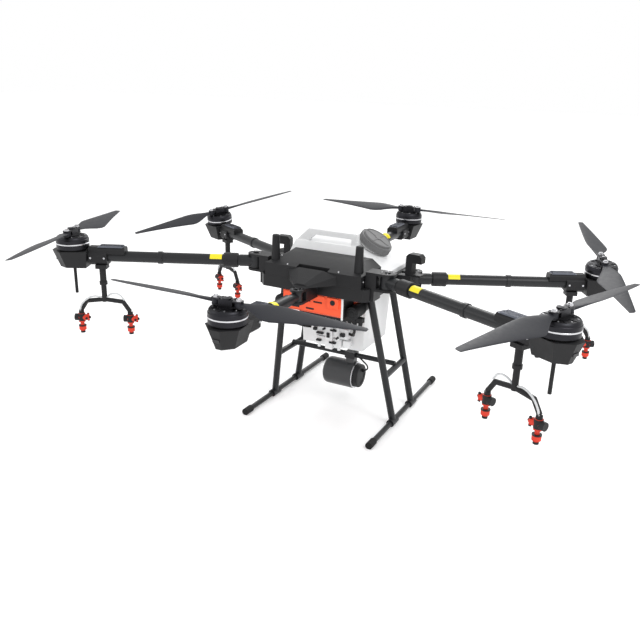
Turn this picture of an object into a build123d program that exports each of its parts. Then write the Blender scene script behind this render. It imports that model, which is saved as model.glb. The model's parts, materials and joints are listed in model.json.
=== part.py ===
# Folding six-rotor agricultural spray drone, standing on its skids.
# Millimetres. +Z up, nose toward -Y, the drone's left side toward +X, origin on the ground
# under the middle of the airframe.
import os
from build123d import *

os.makedirs("parts", exist_ok=True)

# ---- driving dimensions ---------------------------------------------------------------------
# rotor stations: place of each motor axis, its rotor plane and how far the motor leans in Y
CORNER_X = 832.0          # corner motors, out from the middle plane
CORNER_Y = 439.0          # corner motors, forward and back
NOSE_Y = 686.0            # nose and tail motors, forward and back
FRONT_PLANE = 655.0       # rotor plane above the ground, front corners
REAR_PLANE = 599.0
NOSE_PLANE = 604.0
TAIL_PLANE = 660.0
REAR_LEAN = 8.7           # degrees, rear corner motors lean forward
ROTOR_ABOVE_ARM = 84.0    # rotor plane above the arm's centre line

# arms
TUBE_R = 19.5             # carbon tube, outside
TUBE_WALL = 2.0
TUBE_END = 28.0           # tube stops this short of the motor axis
TUBE_START = 58.0         # and starts this far out from the hinge pin
KNUCKLE_R = 24.0          # arm end that turns between the fork plates
KNUCKLE_HALF = 22.0       # half the knuckle's height
SMALL_KNUCKLE_R = 18.0    # the same on the nose and tail arms
SMALL_KNUCKLE_HALF = 16.0
RING_R = 22.5             # fixed ring on the middle of the tube
RING_LONG = 18.0
RING_AT = 340.0           # ring centre, out from the hinge pin, on a corner arm
SHORT_RING_AT = 160.0     # the same on the nose and tail arms
COLLAR_R = 26.0           # sliding lock collar
COLLAR_LONG = 52.0
COLLAR_AT = 64.0          # collar's inner face, out from the hinge pin
CLAMP_LONG = 66.0         # clamp that holds the pod on the tube
CLAMP_HALF = 28.0
CLAMP_AT = 92.0           # clamp centre, inboard of the motor axis
ESC_LONG = 128.0
ESC_WIDE = 46.0
ESC_TALL = 14.0

# arm hinges
FRONT_HINGE = (250.0, -150.0)
REAR_HINGE = (240.0, 130.0)
NOSE_HINGE_Y = 300.0
TAIL_HINGE_Y = 265.0
PIN_R = 5.0
PIN_PLAY = 0.05           # radial play of every pin and shaft
FACE_PLAY = 0.3           # play between turning faces
FORK_PLATE = 8.0
FORK_OVER = 5.0           # fork plates reach past the knuckle
FORK_REACH = 66.0         # fork root, inboard of the pin
NOSE_REACH = 101.0

# motors and rotors
BELL_R = 56.0
BELL_WALL = 3.0
BELL_GAP = 2.0            # bell to the pod's shell
BELL_TOP = -22.0          # heights from the rotor plane
BELL_BOTTOM = -56.0
STATOR_R = 44.0
SHAFT_R = 6.0
SHAFT_END = -72.0
HUB_R = 27.0
PIVOT_AT = 38.0           # blade pivot, out from the shaft
PIVOT_R = 4.0
EYE_R = 13.0
EYE_HALF = 6.0
HUB_PLATE = 4.0
BLADE_TIP = 419.0
BLADE_SWEEP = 0.28        # share of the span where the blade is widest

# motor pods
POD_TOP = 22.0            # from the arm's centre line
POD_BOTTOM = -40.0

# spray hangers
HANGER_IN = 102.0         # inboard of the motor axis
HANGER_SIDE = 10.0        # off the middle of the arm, toward the nose
HANGER_R = 11.5           # drop tube; the branches are thinner
BRANCH_R = 8.0
HANGER_FOOT = 14.0        # height of the foot under the motor clamp
TEE_DROP = 158.0          # tee below the arm's centre line
BRANCH_HALF = 89.0        # from the tee to each nozzle
BRANCH_DROP = 202.0
NOZZLE_TIP_DROP = 286.0
NOZZLE_R = 12.0
ROD_R = 5.5               # whip antenna under a front pod
ROD_DROP = 99.0

# landing gear
SKID_R = 9.5
SKID_X = 250.0
SKID_FRONT = -232.0
SKID_REAR = 428.0
LEG_R = 12.5
FRONT_FOOT_Y = -17.0
REAR_FOOT_Y = 168.0
FRONT_TOP = (165.0, -92.0)
REAR_TOP = (158.0, 112.0)
BRACE_Z = 190.0
BRACE_R = 11.0
CAP_LONG = 42.0
CAP_R = 13.0
CAP_FLAT = 1.0            # depth of the flat under a cap
SKID_Z = CAP_R - CAP_FLAT

# airframe ring that carries the forks and the tank
FRAME_BOTTOM = 504.0
FRAME_TOP = 546.0
FRAME_HALF_X = 205.0
FRAME_FRONT = -204.0
FRAME_REAR = 232.0
WELL_HALF_X = 132.0       # opening that the tank drops through
WELL_FRONT = -36.0
WELL_REAR = 196.0

# tank
TANK_WALL = 3.0
TANK_LOW = 260.0
TANK_TOP = 632.0
TANK_PLAY = 1.0           # tank to the well, each side
TANK_FOOT_HALF_X = 121.0
SHOULDER_X = 196.0
SHOULDER_REAR = 195.0
HANDLE_TOP = 676.0
HANDLE_R = 11.0
HANDLE_Y = 15.0
HANDLE_LEFT = -127.0      # ends of the grip bar
HANDLE_RIGHT = 66.0
HANDLE_LEG = 46.0         # width of the leaning leg
HANDLE_RUN = 51.0         # how far that leg leans
CROWN_RIGHT = 62.0        # right edge of the tank's flat top, where the filler slope starts
NECK_AT = (104.0, 92.0, 646.0)    # middle of the filler neck's rim
NECK_LEAN = 31.0          # degrees toward +X
NECK_R = 48.0
LID_R = 61.0
LID_TALL = 26.0

# hull cover, pump case, pumps, radar
COVER_WALL = 3.0
CASE_HALF_X = 112.0
CASE_FRONT = -196.0
CASE_REAR = -60.0
CASE_LOW = 432.0
PUMP_R = 23.0
PUMP_AT = (138.0, -170.0, 448.0)
RADAR_R = 52.0
RADAR_AT = (60.0, 124.0)  # y and z of the drum's axis
RADAR_LEFT = -62.0
RADAR_RIGHT = 84.0
RADAR_BODY = 60.0         # right end of the drum, where its end cap starts
RADAR_CAP_R = 45.0
RADAR_WALL = 2.5
CROSS_Z = 204.0
CROSS_R = 9.5

MIDDLE_PLANE = Plane.YZ


def save(name, *solids):
    """Write one node: every piece of it stays a solid of its own."""
    pieces = [s for group in solids for s in group.solids()]
    export_step(Compound(label=name, children=pieces), f"parts/{name}.step")


def box(x0, x1, y0, y1, z0, z1):
    """A block between two corners."""
    return Pos((x0 + x1) / 2, (y0 + y1) / 2, (z0 + z1) / 2) * Box(x1 - x0, y1 - y0, z1 - z0)


def disc(radius, z0, z1, x=0.0, y=0.0):
    """An upright cylinder between two heights."""
    return Pos(x, y, (z0 + z1) / 2) * Cylinder(radius, z1 - z0)


def rod(start, end, radius):
    """A round bar from one point to another."""
    a = Vector(*start)
    b = Vector(*end)
    span = b - a
    return Plane(origin=a, z_dir=span.normalized()) * Pos(0, 0, span.length / 2) * \
        Cylinder(radius, span.length)


def tube(start, end, radius, wall):
    """A round tube from one point to another."""
    return rod(start, end, radius) - rod(start, end, radius - wall)


def prism(points, z0, z1):
    """An upright prism over a polygon."""
    return extrude(Pos(0, 0, z0) * Polygon(*points, align=None), z1 - z0, dir=(0, 0, 1))


def frustum(low, high, z0, z1):
    """A faceted body between two polygons with the same number of corners."""
    faces = [Pos(0, 0, z0) * Polygon(*low, align=None), Pos(0, 0, z1) * Polygon(*high, align=None)]
    return loft(faces, ruled=True)


def mirrored(shape):
    """The same piece on the other side of the middle plane."""
    return mirror(shape, about=MIDDLE_PLANE)


# ---- the six stations ------------------------------------------------------------------------
# name: hinge pin, motor place, rotor plane, lean about X, blade rest angle, spin sense
STATIONS = {
    "front_left": (FRONT_HINGE, (CORNER_X, -CORNER_Y), FRONT_PLANE, 0.0, 97.5, -1),
    "front_right": ((-FRONT_HINGE[0], FRONT_HINGE[1]), (-CORNER_X, -CORNER_Y), FRONT_PLANE, 0.0, 83.0, 1),
    "rear_left": (REAR_HINGE, (CORNER_X, CORNER_Y), REAR_PLANE, REAR_LEAN, 82.0, 1),
    "rear_right": ((-REAR_HINGE[0], REAR_HINGE[1]), (-CORNER_X, CORNER_Y), REAR_PLANE, REAR_LEAN, 95.0, -1),
    "nose": ((0.0, -NOSE_HINGE_Y), (0.0, -NOSE_Y), NOSE_PLANE, 0.0, 90.0, 1),
    "tail": ((0.0, TAIL_HINGE_Y), (0.0, NOSE_Y), TAIL_PLANE, 0.0, 90.0, -1),
}
CORNERS = ("front_left", "front_right", "rear_left", "rear_right")


def knuckle_size(name):
    """Radius and half height of an arm's knuckle."""
    return (KNUCKLE_R, KNUCKLE_HALF) if name in CORNERS else (SMALL_KNUCKLE_R, SMALL_KNUCKLE_HALF)


def arm_length(name):
    """Hinge pin to motor axis."""
    hinge, motor = STATIONS[name][:2]
    return (Vector(*motor) - Vector(*hinge)).length


def arm_place(name):
    """Arm frame: origin on the hinge pin at the arm's level, X out along the arm."""
    hinge, motor, plane = STATIONS[name][:3]
    out = (Vector(*motor) - Vector(*hinge)).normalized()
    level = plane - ROTOR_ABOVE_ARM
    return Location(Plane(origin=(hinge[0], hinge[1], level), x_dir=out, z_dir=(0, 0, 1)))


def rotor_place(name):
    """Rotor frame: origin in the rotor plane on the motor axis, X along the first blade."""
    hinge, motor, plane, lean, rest, spin = STATIONS[name]
    radial = Vector(*motor).get_angle(Vector(1, 0)) * (1 if motor[1] >= 0 else -1)
    return Pos(motor[0], motor[1], plane) * Rot(X=lean) * Rot(Z=radial + rest)


# ---- arms -------------------------------------------------------------------------------------
def arm(length, ring_at, radius, half):
    """Carbon tube with its hinge knuckle and middle ring."""
    knuckle = disc(radius, -half, half)
    knuckle += rod((0, 0, 0), (TUBE_START, 0, 0), half - 1)
    knuckle -= disc(PIN_R + PIN_PLAY, -half - 1, half + 1)
    pole = tube((TUBE_START, 0, 0), (length - TUBE_END, 0, 0), TUBE_R, TUBE_WALL)
    ring_in = ring_at - RING_LONG / 2
    ring = rod((ring_in, 0, 0), (ring_in + RING_LONG, 0, 0), RING_R)
    ring = chamfer(ring.edges().filter_by(GeomType.CIRCLE), 1.5)
    ring -= rod((0, 0, 0), (length, 0, 0), TUBE_R)
    return [knuckle, pole, ring]


def lock_collar():
    """Knurled collar that slides along the tube and locks the hinge."""
    body = rod((COLLAR_AT, 0, 0), (COLLAR_AT + COLLAR_LONG, 0, 0), COLLAR_R)
    body = chamfer(body.edges().filter_by(GeomType.CIRCLE), 2)
    return body - rod((0, 0, 0), (2 * COLLAR_AT + COLLAR_LONG, 0, 0), TUBE_R + PIN_PLAY)


def pod(length, lean, turn):
    """Motor pod: faceted shell, tube clamp, speed controller, stator."""
    m = length
    low = [(m - 50, -30), (m + 18, -34), (m + 46, -10), (m + 46, 10), (m + 18, 34), (m - 50, 30)]
    high = [(m - 60, -46), (m + 30, -57), (m + 68, -18), (m + 68, 18), (m + 30, 57), (m - 60, 46)]
    shell = frustum(low, high, POD_BOTTOM, POD_TOP)
    clamp_in = m - CLAMP_AT - CLAMP_LONG / 2
    clamp = box(clamp_in, clamp_in + CLAMP_LONG, -CLAMP_HALF, CLAMP_HALF, -CLAMP_HALF, CLAMP_HALF - 8)
    clamp = chamfer(clamp.edges().filter_by(Axis.X), 9)
    bore = rod((0, 0, 0), (m - TUBE_END, 0, 0), TUBE_R)
    esc_in = clamp_in + CLAMP_LONG - ESC_LONG
    esc_z = TUBE_R + 1
    esc = box(esc_in, esc_in + ESC_LONG, -ESC_WIDE / 2, ESC_WIDE / 2, esc_z - 10, esc_z + ESC_TALL)
    esc = chamfer(esc.edges().filter_by(Axis.X).group_by(Axis.Z)[-1], 8)
    esc -= clamp
    tilt = Pos(m, 0, ROTOR_ABOVE_ARM) * Rot(Z=-turn) * Rot(X=lean)
    mount = tilt * disc(STATOR_R, BELL_BOTTOM - 12, BELL_BOTTOM + 2)
    stator = tilt * disc(STATOR_R, BELL_BOTTOM + 2, BELL_TOP - BELL_WALL - 2)
    shaft_hole = tilt * disc(SHAFT_R + PIN_PLAY, SHAFT_END - 2, 0)
    bell_room = tilt * disc(BELL_R + BELL_GAP, BELL_BOTTOM - BELL_GAP, 0)
    shell = shell - bore - clamp - bell_room + (mount - bore)
    return [shell - shaft_hole, clamp - bore, esc - bore, stator - shaft_hole]


def rod_antenna(length):
    """Straight whip under a front pod."""
    return rod((length, 0, POD_BOTTOM), (length, 0, POD_BOTTOM - ROD_DROP), ROD_R)


# ---- rotors -----------------------------------------------------------------------------------
def rotor():
    """Motor bell with its shaft, and the clamp plates that hold the blade eyes."""
    bell = disc(BELL_R, BELL_BOTTOM, BELL_TOP)
    bell -= disc(BELL_R - BELL_WALL, BELL_BOTTOM - 1, BELL_TOP - BELL_WALL)
    bell = chamfer(bell.edges().group_by(Axis.Z)[-1], 2.5)
    bell += disc(SHAFT_R, SHAFT_END, BELL_TOP)
    hub = disc(HUB_R, BELL_TOP, -EYE_HALF - FACE_PLAY - HUB_PLATE)
    plates = None
    for z0 in (-EYE_HALF - FACE_PLAY - HUB_PLATE, EYE_HALF + FACE_PLAY):
        plate = box(-PIVOT_AT, PIVOT_AT, -EYE_R, EYE_R, z0, z0 + HUB_PLATE)
        for side in (-1, 1):
            plate += disc(EYE_R, z0, z0 + HUB_PLATE, x=side * PIVOT_AT)
        plates = plate if plates is None else plates + plate
    core_half = PIVOT_AT - EYE_R - 2
    plates += box(-core_half, core_half, -EYE_R, EYE_R, -EYE_HALF - FACE_PLAY, EYE_HALF + FACE_PLAY)
    for side in (-1, 1):
        plates += disc(PIVOT_R, -EYE_HALF - FACE_PLAY, EYE_HALF + FACE_PLAY + HUB_PLATE + 3,
                       x=side * PIVOT_AT)
    cap = disc(HUB_R - 13, EYE_HALF + FACE_PLAY + HUB_PLATE, EYE_HALF + FACE_PLAY + HUB_PLATE + 4)
    return [bell + hub + plates + cap]


def blade(side, spin):
    """Twisted folding blade, with its eye on the pivot; side is +1 or -1 along the rotor's X."""
    # station along the span, leading edge, trailing edge, thickness, pitch in degrees
    span = BLADE_TIP - PIVOT_AT
    wide = PIVOT_AT + BLADE_SWEEP * span
    sections = (
        (PIVOT_AT + 8, 10.0, -10.0, 8.0, 0.0),
        (PIVOT_AT + 32, 14.0, -15.0, 10.0, 11.0),
        (wide - 44, 26.0, -36.0, 9.0, 17.0),
        (wide, 30.0, -48.0, 8.0, 15.0),
        (wide + 0.42 * (BLADE_TIP - wide), 24.0, -40.0, 6.0, 11.0),
        (BLADE_TIP - 46, 16.0, -22.0, 4.0, 8.0),
        (BLADE_TIP, 9.0, -14.0, 2.5, 6.0),
    )
    faces = []
    for x, lead, trail, thick, pitch in sections:
        crown = lead - 0.3 * (lead - trail)
        outline = [(lead, -0.15 * thick), (lead - 1.5, 0.35 * thick), (crown, 0.55 * thick),
                   (trail, 0.5), (trail, -0.5), (crown, -0.45 * thick)]
        face = Plane(origin=(x, 0, 0), x_dir=(0, 1, 0), z_dir=(1, 0, 0)) * \
            Rot(Z=pitch) * Polygon(*outline, align=None)
        faces.append(face)
    wing = loft(faces, ruled=True)
    eye = disc(EYE_R - 0.5, -EYE_HALF, EYE_HALF, x=PIVOT_AT)
    shape = wing + eye - disc(PIVOT_R + PIN_PLAY, -EYE_HALF - 8, EYE_HALF + 8, x=PIVOT_AT)
    if spin < 0:
        shape = mirror(shape, about=Plane.XZ)
    return shape if side > 0 else Rot(Z=180) * shape


# ---- spray hangers ------------------------------------------------------------------------------
def hanger(x, y):
    """Foot under the motor clamp, drop tube and the two branches of the fork."""
    foot_low = -CLAMP_HALF - HANGER_FOOT
    foot = box(x - 20, x + 20, y - 17, y + 17, foot_low, -CLAMP_HALF)
    taper = 0.6 * TEE_DROP
    shape = foot + rod((x, y, foot_low), (x, y, -taper), HANGER_R)
    shape += rod((x, y, -taper), (x, y, -TEE_DROP - 8), HANGER_R - 2)
    for side in (-1, 1):
        bend = (x + side * 0.74 * BRANCH_HALF, y, -TEE_DROP - 8)
        end = (x + side * BRANCH_HALF, y, -BRANCH_DROP)
        shape += rod((x, y, -TEE_DROP), bend, BRANCH_R) + rod(bend, end, BRANCH_R)
        shape += Pos(*bend) * Sphere(BRANCH_R)
    return shape


def nozzles(x, y):
    """The two spray nozzles of a hanger: body, check valve across it, stem and tip."""
    shapes = []
    for side in (-1, 1):
        cx = x + side * BRANCH_HALF
        body = disc(NOZZLE_R, -BRANCH_DROP - 44, -BRANCH_DROP - 12, cx, y)
        valve = rod((cx - 20, y, -BRANCH_DROP - 27), (cx + 20, y, -BRANCH_DROP - 27), NOZZLE_R - 1)
        stem = disc(NOZZLE_R - 5, -NOZZLE_TIP_DROP, -BRANCH_DROP - 44, cx, y)
        tip = disc(NOZZLE_R + 1, -NOZZLE_TIP_DROP + 10, -BRANCH_DROP - 58, cx, y)
        shapes.append(body + valve + stem + tip)
    return shapes


for name, (hinge, motor, plane, lean, rest, spin) in STATIONS.items():
    place = arm_place(name)
    reach = arm_length(name)
    turn = place.orientation.Z
    ring_at = RING_AT if name in CORNERS else SHORT_RING_AT
    save(f"arm_{name}", *[place * piece for piece in arm(reach, ring_at, *knuckle_size(name))])
    pod_pieces = pod(reach, lean, turn)
    if name in ("front_left", "front_right"):
        pod_pieces.append(rod_antenna(reach))
    save(f"pod_{name}", *[place * piece for piece in pod_pieces])
    spinner = rotor_place(name)
    save(f"rotor_{name}", *[spinner * piece for piece in rotor()])
    for letter, side in (("a", 1), ("b", -1)):
        save(f"blade_{name}_{letter}", spinner * blade(side, spin))
    if name in CORNERS:
        save(f"lock_collar_{name}", place * lock_collar())
        hang_at = (reach - HANGER_IN, -HANGER_SIDE if motor[0] > 0 else HANGER_SIDE)
        save(f"nozzle_hanger_{name}", place * hanger(*hang_at))
        save(f"nozzles_{name}", *[place * piece for piece in nozzles(*hang_at)])

# ---- airframe -------------------------------------------------------------------------------------
def fork(name, inboard, reach):
    """Two plates above and below the knuckle, joined by a web on the inboard side."""
    hinge, motor, plane = STATIONS[name][:3]
    level = plane - ROTOR_ABOVE_ARM
    place = Location(Plane(origin=(*hinge, level), x_dir=(*inboard, 0), z_dir=(0, 0, 1)))
    radius, half = knuckle_size(name)
    wide = radius + FORK_OVER
    gap = half + FACE_PLAY
    shape = box(radius + 4, reach, -wide, wide, -gap, gap)
    for z0 in (-gap - FORK_PLATE, gap):
        shape += box(0, reach, -wide, wide, z0, z0 + FORK_PLATE) + disc(wide, z0, z0 + FORK_PLATE)
    shape -= disc(PIN_R, -gap - FORK_PLATE - 1, gap + FORK_PLATE + 1)
    return place * shape, level, wide


ring_outline = [(-FRAME_HALF_X, -60), (-FRAME_HALF_X, FRAME_REAR - 50), (-70, FRAME_REAR),
                (70, FRAME_REAR), (FRAME_HALF_X, FRAME_REAR - 50), (FRAME_HALF_X, -60),
                (FRAME_HALF_X, FRAME_FRONT + 18), (FRAME_HALF_X - 18, FRAME_FRONT),
                (18 - FRAME_HALF_X, FRAME_FRONT), (-FRAME_HALF_X, FRAME_FRONT + 18)]
frame = prism(ring_outline, FRAME_BOTTOM, FRAME_TOP)
frame -= box(-WELL_HALF_X, WELL_HALF_X, WELL_FRONT, WELL_REAR, FRAME_BOTTOM - 1, FRAME_TOP + 1)
frame -= box(-120, 120, -180, -60, FRAME_BOTTOM + 6, FRAME_TOP + 1)
POST_HALF = 16.0
FORK_BACK = {"front_left": (-1, 0), "front_right": (1, 0), "rear_left": (-1, 0),
             "rear_right": (1, 0), "nose": (0, 1), "tail": (0, -1)}
for name, back in FORK_BACK.items():
    reach = NOSE_REACH if name == "nose" else FORK_REACH
    shape, level, wide = fork(name, back, reach)
    hinge = STATIONS[name][0]
    root = [hinge[i] + back[i] * (reach - POST_HALF) for i in (0, 1)]
    half_x, half_y = (POST_HALF, wide) if back[1] == 0 else (wide, POST_HALF)
    post = box(root[0] - half_x, root[0] + half_x, root[1] - half_y, root[1] + half_y,
               FRAME_BOTTOM, level)
    frame += shape + post
save("airframe", frame)

pins = []
for name in STATIONS:
    hinge = STATIONS[name][0]
    level = STATIONS[name][2] - ROTOR_ABOVE_ARM
    half = knuckle_size(name)[1] + FACE_PLAY + FORK_PLATE
    pin = disc(PIN_R, level - half, level + half, x=hinge[0], y=hinge[1])
    pins.append(pin + disc(PIN_R + 4, level + half, level + half + 4, x=hinge[0], y=hinge[1]))
save("hinge_pins", *pins)

# front body cover: a shell over the electronics, between the front forks
COVER_HALF_X = 181.0
COVER_FRONT = FRAME_FRONT
COVER_REAR = WELL_FRONT - 6
COVER_LOW_Z = FRAME_TOP
COVER_MID_Z = 588.0
COVER_TOP_Z = 614.0
cover_low = [(-COVER_HALF_X, COVER_REAR), (-COVER_HALF_X, COVER_FRONT), (COVER_HALF_X, COVER_FRONT),
             (COVER_HALF_X, COVER_REAR)]
cover_high = [(-150, COVER_REAR - 6), (-132, -118), (132, -118), (150, COVER_REAR - 6)]


def shrunk(points, by):
    """The same outline drawn in toward its middle."""
    mid_y = -100.0
    return [(x - by * (1 if x > 0 else -1), y + by * (1 if y < mid_y else -1)) for x, y in points]


cover = prism(cover_low, COVER_LOW_Z, COVER_MID_Z) + \
    frustum(cover_low, cover_high, COVER_MID_Z, COVER_TOP_Z)
hollow = prism(shrunk(cover_low, COVER_WALL), COVER_LOW_Z - 1, COVER_MID_Z) + \
    frustum(shrunk(cover_low, COVER_WALL), shrunk(cover_high, COVER_WALL), COVER_MID_Z,
            COVER_TOP_Z - COVER_WALL)
RECESS_HALF_X = 58.0
RECESS_DEEP = 22.0
recess = box(-RECESS_HALF_X, RECESS_HALF_X, COVER_FRONT - 1, COVER_FRONT + RECESS_DEEP, COVER_LOW_Z - 1,
             COVER_MID_Z + 8)
lining = box(-RECESS_HALF_X - COVER_WALL, RECESS_HALF_X + COVER_WALL, COVER_FRONT,
             COVER_FRONT + RECESS_DEEP + COVER_WALL, COVER_LOW_Z, COVER_MID_Z + 8 + COVER_WALL)
solid_cover = cover
cover = (cover - hollow + (lining & solid_cover)) - recess
window_y = COVER_FRONT + RECESS_DEEP
cover -= box(-26, 26, window_y - 1, window_y + COVER_WALL + 1, 556, 574)
PROW_Z = NOSE_PLANE - ROTOR_ABOVE_ARM + SMALL_KNUCKLE_HALF + FORK_PLATE + 2
prow_low = [(-66, COVER_FRONT), (-23, -290), (23, -290), (66, COVER_FRONT)]
prow_high = [(-54, COVER_FRONT), (-14, -252), (14, -252), (54, COVER_FRONT)]
cover += frustum(prow_low, prow_high, PROW_Z, PROW_Z + 24)
save("front_cover", cover)

# nose camera: a small window behind the slot in the cover, with its lens
window = box(-26, 26, window_y, window_y + COVER_WALL, 556, 574)
lens = rod((0, window_y - 2, 565), (0, window_y + 14, 565), 6)
camera_body = box(-12, 12, window_y + 14, window_y + 30, 553, 577)
save("nose_camera", window - lens, lens, camera_body)

# flight controller and power board on posts inside the cover
BOARD_Z = FRAME_BOTTOM + 18
board = box(-95, 95, -170, -66, BOARD_Z, BOARD_Z + 3)
controller = box(-40, 40, -150, -90, BOARD_Z + 3, BOARD_Z + 27)
posts = [disc(4, FRAME_BOTTOM + 6, BOARD_Z, x=x, y=y) for x in (-85, 85) for y in (-160, -76)]
save("power_board", board, controller, *posts)

# antennas: two tapered masts on the cover's shoulders
ANTENNA_X = 157.0
ANTENNA_Y = -172.0
ANTENNA_TALL = 94.0
mast = Pos(ANTENNA_X, ANTENNA_Y, COVER_MID_Z + ANTENNA_TALL / 2) * Cone(16, 12.5, ANTENNA_TALL)
mast = fillet(mast.edges().group_by(Axis.Z)[-1], 5)
mast -= solid_cover
save("antenna_masts", mast, mirrored(mast))

# ---- pump case and pumps, under the nose -----------------------------------------------------------
case = box(-CASE_HALF_X, CASE_HALF_X, CASE_FRONT, CASE_REAR, CASE_LOW, FRAME_BOTTOM)
case = chamfer(case.edges().group_by(Axis.Z)[0], 8)
for x in (-40, 4):
    case -= box(x, x + 34, CASE_FRONT - 1, CASE_FRONT + 2, 472, 478)
case -= box(-CASE_HALF_X + 4, CASE_HALF_X - 4, CASE_FRONT + 4, CASE_REAR - 4, CASE_LOW + 4, FRAME_BOTTOM - 4)
save("pump_case", case)

pump_x, pump_y, pump_z = PUMP_AT
heads = []
for side in (1, -1):
    head = rod((side * pump_x, pump_y, pump_z), (side * pump_x, pump_y + 66, pump_z), PUMP_R)
    motor_tail = rod((side * pump_x, pump_y + 66, pump_z), (side * pump_x, pump_y + 104, pump_z), PUMP_R - 5)
    port = disc(7, pump_z - PUMP_R - 16, pump_z, x=side * pump_x, y=pump_y + 20)
    bracket = box(*sorted((side * CASE_HALF_X, side * (CASE_HALF_X + 4))), pump_y - 24, pump_y + 60,
                  CASE_LOW, FRAME_BOTTOM)
    heads += [head + motor_tail + port, bracket]
manifold = box(-70, 70, -110, -70, CASE_LOW - 34, CASE_LOW)
for x in (-52, -18, 18, 52):
    manifold += rod((x, -110, CASE_LOW - 18), (x, -128, CASE_LOW - 18), 6)
    manifold += disc(9, CASE_LOW - 48, CASE_LOW - 34, x=x, y=-90)
save("pump_set", *heads, manifold)

# ---- tank -------------------------------------------------------------------------------------------
well_x = WELL_HALF_X - TANK_PLAY
well_front = WELL_FRONT + TANK_PLAY
well_rear = WELL_REAR - TANK_PLAY
SHOULDER_Z = FRAME_TOP
SLOPE_Z = SHOULDER_Z + 16


def tank_body(skin):
    """The tank's outline, drawn in by a wall thickness on every side."""
    foot_x = TANK_FOOT_HALF_X - skin
    foot = [(-foot_x, well_front + 6 + skin), (foot_x, well_front + 6 + skin),
            (foot_x, well_rear - 10 - skin), (-foot_x, well_rear - 10 - skin)]
    neck = [(-well_x + skin, well_front + skin), (well_x - skin, well_front + skin),
            (well_x - skin, well_rear - skin), (-well_x + skin, well_rear - skin)]
    shoulder_x = SHOULDER_X - skin
    upper = [(-shoulder_x, well_front + skin), (shoulder_x, well_front + skin),
             (shoulder_x, SHOULDER_REAR - skin), (-shoulder_x, SHOULDER_REAR - skin)]
    crown = [(-shoulder_x + 20, well_front + 34), (CROWN_RIGHT - skin, well_front + 34),
             (CROWN_RIGHT - skin, SHOULDER_REAR - 30), (-shoulder_x + 20, SHOULDER_REAR - 30)]
    lower = frustum(foot, neck, TANK_LOW + skin, FRAME_BOTTOM - 10)
    middle = prism(neck, FRAME_BOTTOM - 10, SHOULDER_Z + skin)
    top = prism(upper, SHOULDER_Z + skin, SLOPE_Z)
    cap = frustum(upper, crown, SLOPE_Z, TANK_TOP - skin)
    return lower + middle + top + cap


NECK_PLACE = Pos(*NECK_AT) * Rot(Y=NECK_LEAN)
neck_outside = NECK_PLACE * disc(NECK_R, -70, 0)
neck_inside = NECK_PLACE * disc(NECK_R - TANK_WALL, -90, 1)
grip = box(HANDLE_LEFT, HANDLE_RIGHT, HANDLE_Y - HANDLE_R, HANDLE_Y + HANDLE_R, HANDLE_TOP - 20, HANDLE_TOP)
grip += box(HANDLE_RIGHT - 22, HANDLE_RIGHT, HANDLE_Y - HANDLE_R, HANDLE_Y + HANDLE_R,
            TANK_TOP - 30, HANDLE_TOP - 10)
foot_z = TANK_TOP - 4
leg = Polygon((HANDLE_LEFT - HANDLE_RUN, foot_z), (HANDLE_LEFT, HANDLE_TOP),
              (HANDLE_LEFT + HANDLE_LEG, HANDLE_TOP), (HANDLE_LEFT - HANDLE_RUN + HANDLE_LEG, foot_z),
              align=None)
leg_plane = Plane(origin=(0, HANDLE_Y + HANDLE_R, 0), x_dir=(1, 0, 0), z_dir=(0, -1, 0))
grip += extrude(leg_plane * leg, 2 * HANDLE_R, dir=(0, -1, 0))
tank = tank_body(0) + neck_outside + grip
tank = tank - tank_body(TANK_WALL) - neck_inside
outlet = disc(15, TANK_LOW - 22, TANK_LOW, x=0, y=20)
save("tank", tank, outlet)

# lid: a ribbed cap that drops over the neck, and its gasket
LID_PLAY = 0.6
cap_shell = disc(LID_R, -LID_TALL + 6, 3) + disc(LID_R - 7, 3, 9)
cap_shell = chamfer(cap_shell.edges().group_by(Axis.Z)[-1], 2)
cap_shell -= disc(NECK_R + LID_PLAY, -LID_TALL, 2)
for rib in range(24):
    cap_shell += Rot(Z=15 * rib) * box(LID_R - 1, LID_R + 1.2, -2, 2, -LID_TALL + 6, 1)
save("tank_lid", NECK_PLACE * cap_shell)
save("lid_gasket", NECK_PLACE * (disc(NECK_R, 0, 1.7) - disc(NECK_R - 8, -1, 3)))

# ---- radar --------------------------------------------------------------------------------------------
radar_y, radar_z = RADAR_AT
drum = rod((RADAR_LEFT, radar_y, radar_z), (RADAR_BODY, radar_y, radar_z), RADAR_R)
drum = fillet(drum.edges().filter_by(GeomType.CIRCLE).group_by(Axis.X)[0], 9)
drum -= rod((RADAR_LEFT + RADAR_WALL, radar_y, radar_z), (RADAR_BODY - RADAR_WALL, radar_y, radar_z),
            RADAR_R - 9)
end_cap = rod((RADAR_BODY, radar_y, radar_z), (RADAR_RIGHT, radar_y, radar_z), RADAR_CAP_R)
end_cap = chamfer(end_cap.edges().filter_by(GeomType.CIRCLE).group_by(Axis.X)[-1], 3)
NECK_X = 40.0
stalk_low = radar_z + RADAR_R - 4
stalk = box(NECK_X - 16, NECK_X + 16, radar_y - 16, radar_y + 16, stalk_low, CROSS_Z - CROSS_R - 1)
stalk -= rod((RADAR_LEFT, radar_y, radar_z), (RADAR_RIGHT, radar_y, radar_z), RADAR_R)
bearing_x = RADAR_LEFT + RADAR_WALL
bearing = rod((bearing_x, radar_y, radar_z), (bearing_x + 10, radar_y, radar_z), 9)
bearing -= rod((bearing_x, radar_y, radar_z), (bearing_x + 11, radar_y, radar_z), 3 + PIN_PLAY)
save("radar_housing", drum + bearing, end_cap, stalk)
dish = box(bearing_x + 14, RADAR_BODY - 8, radar_y - 3, radar_y + 3, radar_z - 34, radar_z + 34)
dish += rod((bearing_x + 2, radar_y, radar_z), (RADAR_BODY - 6, radar_y, radar_z), 3)
save("radar_antenna", dish)

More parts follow.
